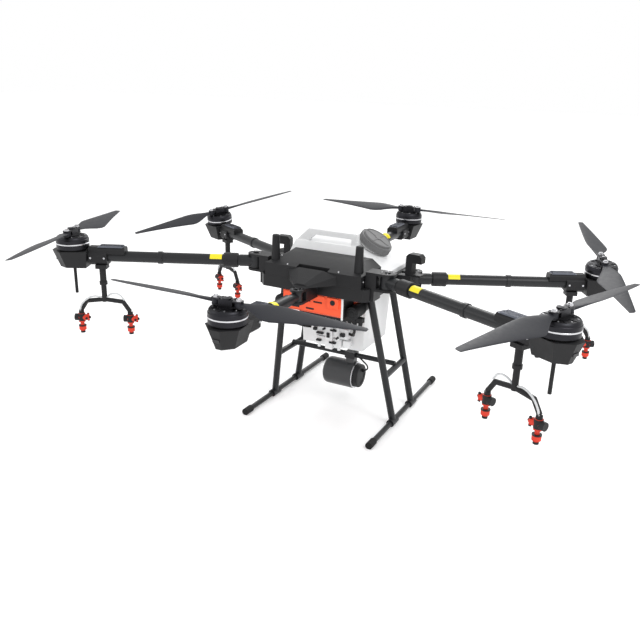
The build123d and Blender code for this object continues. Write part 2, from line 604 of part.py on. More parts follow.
# ---- landing gear ---------------------------------------------------------------------------------------
TUBE_FRONT = SKID_FRONT + CAP_LONG - 10      # ends of the skid tube, inside the caps
TUBE_REAR = SKID_REAR - CAP_LONG + 10


def gear():
    """One side: skid, two leaning legs, their feet and the brace between them."""
    skid = rod((SKID_X, TUBE_FRONT, SKID_Z), (SKID_X, TUBE_REAR, SKID_Z), SKID_R)
    pieces = [skid]
    brace_ends = []
    for foot_y, (top_x, top_y) in ((FRONT_FOOT_Y, FRONT_TOP), (REAR_FOOT_Y, REAR_TOP)):
        foot = Vector(SKID_X, foot_y, SKID_Z)
        top = Vector(top_x, top_y, FRAME_BOTTOM)
        lean = (top - foot).normalized()
        leg = rod(foot, foot + lean * ((FRAME_BOTTOM - SKID_Z + 12) / lean.Z), LEG_R)
        leg -= box(0, 400, -400, 400, FRAME_BOTTOM, FRAME_BOTTOM + 40)
        shoe = rod((SKID_X, foot_y - 26, SKID_Z), (SKID_X, foot_y + 26, SKID_Z), SKID_R + 5)
        shoe -= rod((SKID_X, foot_y - 40, SKID_Z), (SKID_X, foot_y + 40, SKID_Z), SKID_R)
        shoe -= box(0, 400, -400, 400, -20, SKID_Z - SKID_R - 1.5)
        leg -= rod((SKID_X, SKID_FRONT, SKID_Z), (SKID_X, SKID_REAR, SKID_Z), SKID_R + 5)
        brace_ends.append(foot + lean * ((BRACE_Z - SKID_Z) / lean.Z))
        pieces += [leg, shoe]
    brace = rod(brace_ends[0], brace_ends[1], BRACE_R)
    for leg in (pieces[1], pieces[3]):
        brace -= leg
    brace = max(brace.solids(), key=lambda s: s.volume)
    return pieces + [brace], brace_ends


left_gear, brace_ends = gear()
save("landing_gear_left", *left_gear)
save("landing_gear_right", *[mirrored(piece) for piece in left_gear])

caps = []
for y0, y1 in ((SKID_FRONT, SKID_FRONT + CAP_LONG), (SKID_REAR - CAP_LONG, SKID_REAR)):
    cap = rod((SKID_X, y0, SKID_Z), (SKID_X, y1, SKID_Z), CAP_R)
    cap -= rod((SKID_X, TUBE_FRONT, SKID_Z), (SKID_X, TUBE_REAR, SKID_Z), SKID_R)
    cap -= box(0, 400, -400, 600, -10, 0)
    caps.append(cap)
save("skid_caps", *caps, *[mirrored(cap) for cap in caps])

# cross bar between the two braces, and the block that the radar hangs from
bar_y = radar_y
bar_x = brace_ends[0].X - 4
bar = rod((-bar_x, bar_y, CROSS_Z), (bar_x, bar_y, CROSS_Z), CROSS_R)
block = box(NECK_X - 20, NECK_X + 20, bar_y - 20, bar_y + 20, CROSS_Z - CROSS_R - 1, CROSS_Z + CROSS_R + 4)
for brace in (left_gear[-1], mirrored(left_gear[-1])):
    bar -= brace
save("cross_bar", bar - block, block)

# clips that hold the front arms when they are folded back
CLIP_Y = 66.0
FRONT_FOLD = 108.4
FRONT_LEVEL = FRONT_PLANE - ROTOR_ABOVE_ARM
folded = arm_place("front_left") * Rot(Z=FRONT_FOLD)
clip_in = CLIP_Y - FRONT_HINGE[1]
clip = box(clip_in - 16, clip_in + 16, -14, 46, -TUBE_R - 8, TUBE_R + 32)
clip = chamfer(clip.edges().filter_by(Axis.X).group_by(Axis.Z)[-1], 10)
clip -= box(clip_in - 20, clip_in + 20, -60, 20 + 0.5, -TUBE_R - 0.6, TUBE_R + 0.6)
clip = folded * clip
foot = box(FRAME_HALF_X, 256, CLIP_Y - 16, CLIP_Y + 16, FRAME_TOP - 30, FRONT_LEVEL - TUBE_R - 8)
save("arm_clips", clip, foot, mirrored(clip), mirrored(foot))
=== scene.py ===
import math

import bmesh
import bpy
from mathutils import Matrix, Vector
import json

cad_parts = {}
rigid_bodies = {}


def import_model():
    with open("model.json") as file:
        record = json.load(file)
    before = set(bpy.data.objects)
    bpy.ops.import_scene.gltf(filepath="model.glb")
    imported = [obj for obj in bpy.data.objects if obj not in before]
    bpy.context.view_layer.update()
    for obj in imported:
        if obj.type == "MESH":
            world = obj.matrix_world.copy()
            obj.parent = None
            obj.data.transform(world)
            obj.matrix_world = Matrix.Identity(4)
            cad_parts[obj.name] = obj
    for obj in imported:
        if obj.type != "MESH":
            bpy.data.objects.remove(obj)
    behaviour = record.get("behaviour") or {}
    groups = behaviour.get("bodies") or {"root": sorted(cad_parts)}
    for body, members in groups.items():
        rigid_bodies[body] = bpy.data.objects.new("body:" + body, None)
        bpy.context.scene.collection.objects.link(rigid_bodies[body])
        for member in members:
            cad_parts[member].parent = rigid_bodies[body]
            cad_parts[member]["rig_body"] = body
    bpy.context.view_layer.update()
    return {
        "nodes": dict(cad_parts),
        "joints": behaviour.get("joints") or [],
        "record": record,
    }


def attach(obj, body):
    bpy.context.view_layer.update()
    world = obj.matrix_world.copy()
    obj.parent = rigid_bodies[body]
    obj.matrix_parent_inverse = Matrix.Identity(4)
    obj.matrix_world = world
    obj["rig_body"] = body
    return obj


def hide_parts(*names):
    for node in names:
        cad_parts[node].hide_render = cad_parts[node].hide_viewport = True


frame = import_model()
nodes = frame["nodes"]

# ---- camera, light and floor -----------------------------------------------------------------
# The drone stands on a pale studio floor, seen from ahead and to its left, a little from above.
LENS, SENSOR = 39.48, 36.0
FLOOR_HALF = 30.0
DAYLIGHT = 1.0
eye = Vector((1.05895, -2.19046, 1.19182))
right = Vector((0.88460, 0.46559, 0.02677))
up = Vector((-0.17492, 0.27804, 0.94451))
back = right.cross(up)
camera = bpy.data.objects.new("camera", bpy.data.cameras.new("camera"))
bpy.context.scene.collection.objects.link(camera)
camera.matrix_world = Matrix.Translation(eye) @ Matrix((right, up, back)).transposed().to_4x4()
camera.data.lens = LENS
camera.data.sensor_width = SENSOR
bpy.context.scene.camera = camera

bed = bmesh.new()
bmesh.ops.create_grid(bed, x_segments=1, y_segments=1, size=FLOOR_HALF)
floor_mesh = bpy.data.meshes.new("studio_floor")
bed.to_mesh(floor_mesh)
bed.free()
floor = bpy.data.objects.new("studio_floor", floor_mesh)
bpy.context.scene.collection.objects.link(floor)

world = bpy.data.worlds.new("studio")
bpy.context.scene.world = world
world.use_nodes = True
world.node_tree.nodes["Background"].inputs["Color"].default_value = (1.0, 1.0, 1.0, 1.0)
world.node_tree.nodes["Background"].inputs["Strength"].default_value = DAYLIGHT
bpy.context.scene.view_settings.view_transform = "Standard"


def softbox(name, place, target, size, power):
    """A square studio light that faces the drone."""
    lamp = bpy.data.objects.new(name, bpy.data.lights.new(name, "AREA"))
    bpy.context.scene.collection.objects.link(lamp)
    lamp.data.size = size
    lamp.data.energy = power
    lamp.location = place
    lamp.rotation_euler = (Vector(target) - Vector(place)).to_track_quat("-Z", "Y").to_euler()


HULL_MIDDLE = (0, 0, 0.4)
softbox("key_light", (2.8, -1.6, 3.4), HULL_MIDDLE, 1.6, 62)
softbox("fill_light", (-3.4, -2.4, 2.2), HULL_MIDDLE, 2.0, 22)
softbox("rim_light", (-0.6, 3.6, 2.8), HULL_MIDDLE, 1.6, 46)


# ---- shader workshop -------------------------------------------------------------------------
# Finishes are written as sums on sockets: a Wire is a socket that can be added and multiplied,
# and a Finish is one material with its Principled shader.
class Wire:
    def __init__(self, finish, socket):
        self.finish = finish
        self.socket = socket

    def maths(self, operation, first, second=0.0):
        return self.finish.node("ShaderNodeMath", {"operation": operation}, {0: first, 1: second})

    def __add__(self, other):
        return self.maths("ADD", self, other)

    def __sub__(self, other):
        return self.maths("SUBTRACT", self, other)

    def __mul__(self, other):
        return self.maths("MULTIPLY", self, other)

    def __gt__(self, other):
        return self.maths("GREATER_THAN", self, other)

    def __lt__(self, other):
        return self.maths("LESS_THAN", self, other)

    def __rsub__(self, other):
        return self.maths("SUBTRACT", other, self)

    __radd__ = __add__
    __rmul__ = __mul__

    def sine(self):
        return self.maths("SINE", self)

    def clipped(self):
        return self.finish.node("ShaderNodeClamp", {}, {"Value": self})


class Finish:
    def __init__(self, name, colour, rough, **fixed):
        self.material = bpy.data.materials.new(name)
        self.material.use_nodes = True
        self.tree = self.material.node_tree
        self.shader = self.tree.nodes["Principled BSDF"]
        self.shader.inputs["Base Color"].default_value = (*colour, 1.0)
        self.shader.inputs["Roughness"].default_value = rough
        for words, value in fixed.items():
            self.shader.inputs[words.replace("_", " ")].default_value = value

    def node(self, kind, settings, sockets, out=0):
        """One node: its settings first, then the values or links of its sockets."""
        made = self.tree.nodes.new(kind)
        for key, value in settings.items():
            setattr(made, key, value)
        for key, value in sockets.items():
            if isinstance(value, Wire):
                self.tree.links.new(value.socket, made.inputs[key])
            else:
                made.inputs[key].default_value = value
        return Wire(self, made.outputs[out])

    def place(self):
        return self.node("ShaderNodeTexCoord", {}, {}, "Object")

    def axes(self, vector):
        """The three numbers of a vector."""
        x = self.node("ShaderNodeSeparateXYZ", {}, {"Vector": vector}, "X")
        return x, Wire(self, x.socket.node.outputs["Y"]), Wire(self, x.socket.node.outputs["Z"])

    def along(self, direction):
        """How far a point lies along a direction, in metres."""
        return self.node("ShaderNodeVectorMath", {"operation": "DOT_PRODUCT"},
                         {0: self.place(), 1: direction}, "Value")

    def grain(self, scale, detail=3.0):
        """Cloudy noise over the piece, from 0 to 1; scale is in waves per metre."""
        return self.node("ShaderNodeTexNoise", {}, {"Vector": self.place(), "Scale": scale,
                                                    "Detail": detail}, "Fac")

    def blend(self, share, low, high):
        """A colour between two, by share."""
        ends = [end if isinstance(end, Wire) else (*end, 1.0) for end in (low, high)]
        return self.node("ShaderNodeMix", {"data_type": "RGBA"},
                         {0: share, 6: ends[0], 7: ends[1]}, 2)

    def facing_up(self):
        normal = self.node("ShaderNodeNewGeometry", {}, {}, "Normal")
        return self.axes(normal)[2]

    def feed(self, socket, wire):
        self.tree.links.new(wire.socket, self.shader.inputs[socket])
        return self

    def relief(self, height, depth):
        """A bump of that depth in metres."""
        bump = self.node("ShaderNodeBump", {},
                         {"Strength": 1.0, "Distance": depth, "Height": height})
        return self.feed("Normal", bump)


GRIT_GRAY = (0.075, 0.075, 0.078)
SPARK_GRAIN = 1400.0         # grain of the mould, in waves per metre


def moulded(name, colour, rough, dust=0.22, dust_colour=GRIT_GRAY, depth=0.00005, gloss=0.27):
    """Injection-moulded plastic: fine spark-eroded grain, uneven gloss and a little dust on top."""
    finish = Finish(name, colour, rough, Specular_IOR_Level=gloss)
    clouds = finish.grain(38.0, 5.0)
    settled = (finish.facing_up() * clouds * dust).clipped()
    finish.feed("Base Color", finish.blend(settled, colour, dust_colour))
    finish.feed("Roughness", (clouds * 0.18 + (rough - 0.09)).clipped())
    finish.relief(finish.grain(SPARK_GRAIN, 2.0), depth)
    return finish.material


black_plastic = moulded("black_plastic", (0.0095, 0.0095, 0.0105), 0.50)
frame_black = moulded("frame_black", (0.0085, 0.0085, 0.0095), 0.46)
rubber_black = moulded("rubber_black", (0.009, 0.009, 0.009), 0.75, dust=0.35)
orange_shell = moulded("orange_shell", (0.90, 0.105, 0.035), 0.44, dust=0.08,
                       dust_colour=(0.95, 0.42, 0.3))
lid_gray = moulded("lid_gray", (0.15, 0.15, 0.152), 0.58, dust=0.4,
                   dust_colour=(0.27, 0.27, 0.27))
nozzle_red = moulded("nozzle_red", (0.62, 0.040, 0.018), 0.42, dust=0.12,
                     dust_colour=(0.8, 0.2, 0.15))
radome_gray = moulded("radome_gray", (0.030, 0.031, 0.033), 0.34, gloss=0.5)
board_green = moulded("board_green", (0.02, 0.16, 0.06), 0.4)
dark_glass = Finish("dark_glass", (0.006, 0.006, 0.008), 0.08, Specular_IOR_Level=0.6).material


def milky(name, low, high, depth, through=0.3):
    """Blow-moulded polyethylene: milky, a little light comes through it."""
    finish = Finish(name, low, 0.45)
    finish.shader.inputs["Subsurface Weight"].default_value = through
    finish.shader.inputs["Subsurface Radius"].default_value = (0.02, 0.02, 0.02)
    finish.shader.inputs["Subsurface Scale"].default_value = 0.3
    clouds = finish.grain(22.0, 4.0)
    finish.feed("Base Color", finish.blend(clouds, low, high))
    finish.feed("Roughness", (clouds * 0.2 + 0.36).clipped())
    finish.relief(finish.grain(520.0, 2.0), depth)
    return finish.material


white_tank = milky("white_tank", (0.70, 0.705, 0.712), (0.78, 0.783, 0.787), 0.00012)
hose_white = milky("hose_white", (0.50, 0.51, 0.52), (0.62, 0.63, 0.64), 0.00002, 0.4)


def blade_skin():
    """Satin carbon composite blade: a bluish sheen, fine grain along it and scuffs."""
    finish = Finish("blade_carbon", (0.010, 0.011, 0.015), 0.50, Specular_IOR_Level=0.28)
    scuffs = finish.grain(90.0, 6.0)
    finish.feed("Base Color", finish.blend(scuffs, (0.007, 0.008, 0.011), (0.019, 0.020, 0.027)))
    finish.feed("Roughness", (scuffs * 0.22 + 0.36).clipped())
    finish.relief(finish.grain(1100.0, 2.0), 0.00003)
    return finish.material


blade_carbon = blade_skin()


def machined(name, colour, rough):
    """Turned or machined metal with fine rings of tool marks."""
    finish = Finish(name, colour, rough, Metallic=1.0)
    marks = finish.grain(600.0, 2.0)
    finish.feed("Roughness", (marks * 0.2 + (rough - 0.1)).clipped())
    finish.relief(marks, 0.00003)
    return finish.material


motor_black = machined("motor_black", (0.030, 0.030, 0.034), 0.40)
bright_ring = machined("bright_ring", (0.62, 0.62, 0.64), 0.26)
steel = machined("steel", (0.50, 0.50, 0.52), 0.30)
black_steel = machined("black_steel", (0.035, 0.035, 0.038), 0.36)
sink_gray = machined("sink_gray", (0.16, 0.17, 0.20), 0.42)
pale = Finish("floor", (0.97, 0.97, 0.972), 0.7, Specular_IOR_Level=0.1, Emission_Strength=0.12)
pale.shader.inputs["Emission Color"].default_value = (1.0, 1.0, 1.0, 1.0)
floor.data.materials.append(pale.material)


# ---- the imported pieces, with their edges broken ----------------------------------------------
# Each moulded or machined piece keeps its designed shape; its edges get the small round that a
# mould or a deburring tool leaves.
CREASE = math.radians(38)    # sharper corners stay sharp in the shading
SAME_PLANE = math.radians(0.6)
SAME_POINT = 0.00002
EDGE_ROUND = 0.0008


def add(name, form, finish, body):
    """Makes a bmesh an object that rides on a body."""
    bmesh.ops.recalc_face_normals(form, faces=form.faces)
    for edge in form.edges:
        edge.smooth = edge.calc_face_angle(0.0) < CREASE if len(edge.link_faces) == 2 else True
    for face in form.faces:
        face.smooth = True
    mesh = bpy.data.meshes.new(name)
    form.to_mesh(mesh)
    form.free()
    mesh.materials.append(finish)
    piece = bpy.data.objects.new(name, mesh)
    bpy.context.scene.collection.objects.link(piece)
    shading = piece.modifiers.new("even_shading", "WEIGHTED_NORMAL")
    shading.keep_sharp = True
    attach(piece, body)
    return piece


def soften(form, edge, sharp=24, segments=2):
    """Rounds every corner of a form that is sharper than so many degrees."""
    corners = [e for e in form.edges
               if len(e.link_faces) == 2 and e.calc_face_angle(0.0) > math.radians(sharp)]
    bmesh.ops.bevel(form, geom=corners, offset=edge, segments=segments, affect="EDGES", profile=0.5,
                    material=-1, clamp_overlap=True)


def broken_edges(node, finish, edge):
    """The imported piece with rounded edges, standing for its node."""
    form = bmesh.new()
    form.from_mesh(nodes[node].data)
    bmesh.ops.remove_doubles(form, verts=form.verts, dist=SAME_POINT)
    bmesh.ops.dissolve_limit(form, angle_limit=SAME_PLANE, verts=form.verts, edges=form.edges)
    soften(form, edge)
    piece = add(node + "_finished", form, finish, nodes[node]["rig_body"])
    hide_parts(node)


FINISHES = {"black_plastic": black_plastic, "motor_black": motor_black, "frame_black": frame_black,
            "white_tank": white_tank, "lid_gray": lid_gray, "gasket": rubber_black,
            "orange_case": orange_shell, "nozzle_red": nozzle_red, "board_green": board_green,
            "pin_steel": steel, "foot_rubber": rubber_black, "lens_glass": dark_glass}
EDGE = {"tank": 0.006, "front_cover": 0.0018, "pump_case": 0.003, "tank_lid": 0.0012}
OWN_SECTION = {"radar_housing", "hinge_pins"}
broken_edges("hinge_pins", black_steel, EDGE_ROUND)
for part in frame["record"]["subparts"]:
    node, slot = part["node"], part["material_slot"]
    if slot in FINISHES and node not in OWN_SECTION:
        broken_edges(node, FINISHES[slot], EDGE.get(node, EDGE_ROUND))


# ---- carbon tubes: arms, legs, skids and cross bar -------------------------------------------
# Roll-wrapped carbon tube under satin lacquer; each arm carries a yellow band that shows how far
# the lock collar has to go.
joints = {joint["name"]: joint for joint in frame["joints"]}
CORNERS = ("front_left", "front_right", "rear_left", "rear_right")
STATIONS = CORNERS + ("nose", "tail")
YELLOW = (0.80, 0.68, 0.02)
SHORT_BAND = (0.140, 0.165)  # start and end of the band, from the hinge pin
CORNER_BAND = (0.121, 0.163)
BAND_LOW = 0.006             # the band is painted above this height over the tube's middle
WEAVE = 900.0                # radians of weave per metre


def arm_frame(name):
    """The arm's own axes: origin on the hinge pin, X out along the tube. Also the arm's length."""
    hinge = Vector(joints["fold_" + name]["pos_m"])
    motor = Vector(joints["spin_" + name]["pos_m"])
    out = Vector((motor.x - hinge.x, motor.y - hinge.y, 0.0))
    side = Vector((0, 0, 1)).cross(out.normalized())
    turn = Matrix((out.normalized(), side, Vector((0, 0, 1)))).transposed().to_4x4()
    return Matrix.Translation(hinge) @ turn, out.length


def carbon(name, arm=None):
    """Woven carbon tube; an arm's tube has its yellow band on the upper side."""
    finish = Finish(name, (0.012, 0.0125, 0.014), 0.40, Specular_IOR_Level=0.3, Coat_Weight=0.06,
                    Coat_Roughness=0.25)
    spread = finish.node("ShaderNodeVectorMath", {"operation": "SCALE"},
                         {0: finish.place(), 3: WEAVE})
    x, y, z = finish.axes(spread)
    weave = (x + y + z).sine() * (x - y - z).sine()
    tow = finish.blend((weave > 0.0) * 1.0, (0.008, 0.0085, 0.0095), (0.016, 0.017, 0.019))
    if arm:
        place, length = arm_frame(arm)
        hinge, out = place.translation, place.col[0].xyz
        reach = finish.along(out)
        start, stop = CORNER_BAND if arm in CORNERS else SHORT_BAND
        height = finish.axes(finish.place())[2]
        band = (reach > hinge.dot(out) + start) * (reach < hinge.dot(out) + stop) * \
            (height > hinge.z + BAND_LOW)
        tow = finish.blend(band, tow, YELLOW)
    finish.feed("Base Color", tow)
    finish.relief(weave, 0.00003)
    return finish.material


for arm in STATIONS:
    broken_edges("arm_" + arm, carbon("carbon_arm_" + arm, arm), EDGE_ROUND)
carbon_tube = carbon("carbon_tube")
for node in ("landing_gear_left", "landing_gear_right", "cross_bar"):
    broken_edges(node, carbon_tube, EDGE_ROUND)


# ---- motors and their hubs -------------------------------------------------------------------
# Outrunner motors: an anodised bell with a bright machined ring, cap screws on its face, and two
# clamp plates that hold the folding blades on shouldered bolts.
MM = 0.001
RING_R = 56.9
RING_LOW, RING_HIGH = -40.5, -36.0
RING_EASE = 0.6              # chamfer of the bright ring
BOLT_CIRCLE = 42.0
FACE = -13.0                 # top of the bell's cooling cap, below the rotor plane
PLATE_TOP = 10.3             # upper face of the upper clamp plate
PIVOT = 38.0                 # blade bolt, from the shaft
CAP_SCREWS = 8


def rotor_frame(name):
    """The rotor's own axes: origin in the rotor plane, Z up the shaft, X toward the first blade."""
    centre = Vector(joints["spin_" + name]["pos_m"])
    up_shaft = Vector(joints["spin_" + name]["axis"]).normalized()
    first = (Vector(joints[f"blade_{name}_a_fold"]["pos_m"]) - centre).normalized()
    side = up_shaft.cross(first)
    return Matrix.Translation(centre) @ Matrix((first, side, up_shaft)).transposed().to_4x4()


def drum(form, radius, low, high, place, segments=32, tip=None):
    """A round piece between two heights on the Z axis of place; sizes in millimetres."""
    middle = Matrix.Translation((0, 0, (low + high) / 2 * MM))
    bmesh.ops.create_cone(form, cap_ends=True, segments=segments, radius1=radius * MM,
                          radius2=(radius if tip is None else tip) * MM, depth=(high - low) * MM,
                          matrix=place @ middle)


def block(form, low, high, place=Matrix()):
    """A block between two corners, in the axes of place; sizes in millimetres."""
    size = [(b - a) * MM for a, b in zip(low, high)]
    centre = [(a + b) / 2 * MM for a, b in zip(low, high)]
    bmesh.ops.create_cube(form, size=1.0, matrix=place @ Matrix.Translation(centre)
                          @ Matrix.Diagonal((*size, 1.0)))


def lathe(form, profile, place, segments=64):
    """A turned piece: a profile of (radius, height) in millimetres, spun round place's Z axis."""
    old = set(form.verts)
    points = [form.verts.new((radius * MM, 0, height * MM)) for radius, height in profile]
    edges = [form.edges.new(pair) for pair in zip(points, points[1:])]
    bmesh.ops.spin(form, geom=points + edges, cent=(0, 0, 0), axis=(0, 0, 1), angle=2 * math.pi,
                   steps=segments, use_merge=True)
    turned = [v for v in form.verts if v not in old]
    bmesh.ops.transform(form, matrix=place, verts=turned)
    bmesh.ops.remove_doubles(form, verts=turned, dist=0.00001)


def shifted(place, x=0.0, y=0.0, z=0.0):
    """place, moved by so many millimetres along its own axes."""
    return place @ Matrix.Translation((x * MM, y * MM, z * MM))


for name in STATIONS:
    place = rotor_frame(name)
    bright = bmesh.new()
    lathe(bright, [(55.0, RING_LOW), (RING_R - RING_EASE, RING_LOW), (RING_R, RING_LOW + RING_EASE),
                   (RING_R, RING_HIGH - RING_EASE), (RING_R - RING_EASE, RING_HIGH),
                   (55.0, RING_HIGH)], place)
    for side in (-1, 1):
        drum(bright, 9.0, PLATE_TOP, 14.0, shifted(place, x=PIVOT * side), 32, 8.4)
        drum(bright, 6.4, 14.0, 17.2, shifted(place, x=PIVOT * side), 6)
    drum(bright, 5.0, 14.3, 17.5, place, 6)
    for turn in range(CAP_SCREWS):
        spot = place @ Matrix.Rotation(2 * math.pi * (turn + 0.5) / CAP_SCREWS, 4, "Z")
        drum(bright, 2.6, FACE - 0.6, FACE + 1.8, shifted(spot, x=BOLT_CIRCLE), 12)
    add("motor_brightwork_" + name, bright, bright_ring, "rotor_" + name)
    dark = bmesh.new()
    lathe(dark, [(54.0, -22.4), (53.4, -18.0), (50.0, FACE - 0.6), (48.5, FACE), (30.0, FACE),
                 (25.0, -11.4), (25.0, -22.4)], place)
    for turn in range(CAP_SCREWS):
        spot = place @ Matrix.Rotation(2 * math.pi * turn / CAP_SCREWS, 4, "Z")
        block(dark, (31.0, -2.6, FACE - 1.0), (47.0, 2.6, FACE + 1.4), spot)
    for side_x in (-1, 1):
        for side_y in (-1, 1):
            drum(dark, 2.6, PLATE_TOP, 12.6, shifted(place, 20.0 * side_x, 8.4 * side_y), 12)
    add("motor_face_" + name, dark, motor_black, "rotor_" + name)


# ---- blades ----------------------------------------------------------------------------------
# Moulded carbon composite blades with a flat clamped root; they are widest a third of the way out,
# twist along the span and end in a raked tip.
# Each section: distance from the shaft, leading edge, trailing edge, thickness, pitch in degrees.
BLADE_SECTIONS = ((43, 9, -9, 10, 0), (56, 12, -12, 10, 6), (76, 16, -18, 9.4, 12),
                  (98, 21, -28, 8.6, 16), (122, 26, -41, 8, 17), (144, 29, -50, 7.4, 16),
                  (164, 29, -52, 7, 15), (205, 27, -45, 6, 13), (260, 23, -35, 5, 11),
                  (315, 19, -26, 4, 9), (365, 15, -18, 3.2, 7.5), (400, 12, -12.5, 2.4, 6.5),
                  (412, 10.5, -11, 1.8, 6), (418.5, 5, -10, 0.9, 6))
SPIN = {"front_left": -1, "front_right": 1, "rear_left": 1, "rear_right": -1,
        "nose": 1, "tail": -1}       # which way each rotor turns, seen from above
EYE_R, EYE_HALF = 12.4, 5.95         # the root's eye round the blade bolt
AROUND = 24

for name in STATIONS:
    for letter, turn in (("a", 0.0), ("b", math.pi)):
        place = rotor_frame(name) @ Matrix.Rotation(turn, 4, "Z")
        form = bmesh.new()
        ring = None
        for number, (out, lead, trail, thick, pitch) in enumerate(BLADE_SECTIONS):
            lay = place @ Matrix.Translation((out * MM, 0, 0)) \
                @ Matrix.Rotation(math.radians(pitch * SPIN[name]), 4, "X") \
                @ Matrix.Translation((0, (lead + trail) / 2 * SPIN[name] * MM, 0)) \
                @ Matrix.Diagonal((1.0, (lead - trail) / 2 * MM, thick / 2 * MM, 1.0)) \
                @ Matrix.Rotation(math.radians(90), 4, "Y")
            made = bmesh.ops.create_circle(form, cap_ends=number in (0, len(BLADE_SECTIONS) - 1),
                                           segments=AROUND, radius=1.0, matrix=lay)
            loop = list({edge for vert in made["verts"] for edge in vert.link_edges})
            if ring:
                bmesh.ops.bridge_loops(form, edges=ring + loop)
            ring = loop
        drum(form, EYE_R, -EYE_HALF, EYE_HALF, shifted(place, x=PIVOT), 40)
        node = f"blade_{name}_{letter}"
        piece = add(node + "_finished", form, blade_carbon, node)
        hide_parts(node)


# ---- pods: speed controllers, clamps and lamps -----------------------------------------------
# The controller on each arm has an aluminium fin plate; the tube clamp is drawn up with cap screws,
# and a lamp lens closes the outer end of the pod.
ESC_TOP = 34.5
SINK_IN, SINK_OUT = 180, 92          # the fin plate's ends, inboard of the motor
FIN_PITCH, FIN_HALF = 4.2, 0.7
CLAMP_WIDE = 28.0
for name in STATIONS:
    place, length = arm_frame(name)
    motor_x = length / MM
    sink = bmesh.new()
    block(sink, (motor_x - SINK_IN, -19, ESC_TOP - 0.4), (motor_x - SINK_OUT, 19, ESC_TOP + 1.2),
          place)
    for fin in range(-4, 5):
        block(sink, (motor_x - SINK_IN + 4, fin * FIN_PITCH - FIN_HALF, ESC_TOP + 1.0),
              (motor_x - SINK_OUT - 4, fin * FIN_PITCH + FIN_HALF, ESC_TOP + 4.4), place)
    add("fin_plate_" + name, sink, sink_gray, "arm_" + name)
    screws = bmesh.new()
    for x in (-116, -68):
        for side in (-1, 1):
            lay = shifted(place, motor_x + x, CLAMP_WIDE * side, -2.0) @ Matrix.Rotation(
                math.radians(-90 * side), 4, "X")
            drum(screws, 3.4, -0.3, 3.0, lay, 16)
    add("clamp_screws_" + name, screws, steel, "arm_" + name)
    lens = bmesh.new()
    block(lens, (motor_x + 52, -11, -16), (motor_x + 60, 11, -6), place)
    soften(lens, 0.0015)
    add("lamp_lens_" + name, lens, dark_glass, "arm_" + name)


# ---- spray hangers: hoses and nozzle trims ---------------------------------------------------
# Milky hoses arch from each drop tube along its branches. A red nozzle hangs in a black sleeve at
# each branch's end, with a small check valve, closed by black knobs, on its inboard side.
HANGER_IN = 102.0            # drop tube, inboard of the motor
HANGER_SIDE = 10.0           # drop tube, toward the nose
BRANCH = 89.0                # each nozzle, along the arm from the drop tube
BRANCH_DROP = 202.0          # the branches' ends, below the arm's middle
VALVE_DROP = BRANCH_DROP + 27
SLEEVE_R = 12.8              # black sleeve round the red nozzle body
SLEEVE_LOW, SLEEVE_HIGH = -241.0, -214.5
NUT_HIGH = -204.0            # top of the nut between branch and sleeve
NOZZLE_HOSE_R = 3.2
VALVE_KNOBS = (60, 180, 300)
forward = Matrix.Rotation(math.radians(90), 4, "X")


def hose(name, points, radius, finish, body):
    """A flexible hose that is clipped at both ends, through points in metres."""
    run = bpy.data.curves.new(name, "CURVE")
    run.dimensions = "3D"
    run.bevel_depth = radius * MM
    run.bevel_resolution = 4
    run.resolution_u = 10
    run.use_fill_caps = True
    path = run.splines.new("BEZIER")
    path.bezier_points.add(len(points) - 1)
    for knot, point in zip(path.bezier_points, points):
        knot.co = point
        knot.handle_left_type = knot.handle_right_type = "AUTO"
    run.materials.append(finish)
    piece = bpy.data.objects.new(name, run)
    bpy.context.scene.collection.objects.link(piece)
    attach(piece, body)


for name in CORNERS:
    place, length = arm_frame(name)
    x = length / MM - HANGER_IN
    y = -HANGER_SIDE if place.translation.x > 0 else HANGER_SIDE
    toward_nose = 1 if y > 0 else -1
    trims = bmesh.new()
    red = bmesh.new()
    drum(trims, 14.0, -102.0, -90.0, shifted(place, x, y), 28)
    for side in (-1, 1):
        nozzle_x = x + side * BRANCH
        if side < 0:
            knots = ((x - 7, y, -152), (x - 26, y + toward_nose * 5, -136),
                     (x - 52, y + toward_nose * 6, -136), (x - 72, y + toward_nose * 4, -158))
        else:
            knots = ((x + 7, y, -152), (x + 34, y + toward_nose * 6, -146),
                     (x + 64, y + toward_nose * 8, -158),
                     (nozzle_x - 2, y + toward_nose * 8, -186),
                     (nozzle_x, y + toward_nose * 3, -206))
        hose(f"nozzle_hose_{name}_{'in' if side < 0 else 'out'}",
             [place @ (Vector(knot) * MM) for knot in knots], NOZZLE_HOSE_R, hose_white,
             "arm_" + name)
        lay = shifted(place, nozzle_x, y, -VALVE_DROP) @ Matrix.Rotation(math.radians(90), 4, "Y")
        drum(trims, SLEEVE_R - 0.1, 8.0, 23.5, lay, 24)
        drum(red, 8.4, -27.0, -16.0, lay, 20)
        drum(trims, 4.6, -32.0, -26.0, lay, 14)
        for turn in VALVE_KNOBS:
            spot = shifted(lay, z=-21.5) @ Matrix.Rotation(math.radians(turn), 4, "Z") @ forward
            drum(red, 5.0, 6.0, 12.0, spot, 14)
            drum(trims, 4.2, 12.0, 16.0, spot, 14)
        nozzle = shifted(place, nozzle_x, y)
        drum(trims, SLEEVE_R, SLEEVE_LOW, SLEEVE_HIGH, nozzle, 28)
        drum(trims, 9.6, SLEEVE_HIGH, NUT_HIGH, nozzle, 24)
        drum(trims, 8.4, -287.5, -281.0, nozzle, 24)
        drum(trims, 13.8, -262.0, -258.5, nozzle, 24)
    add("nozzle_trims_" + name, trims, black_plastic, "arm_" + name)
    add("check_valves_" + name, red, nozzle_red, "arm_" + name)


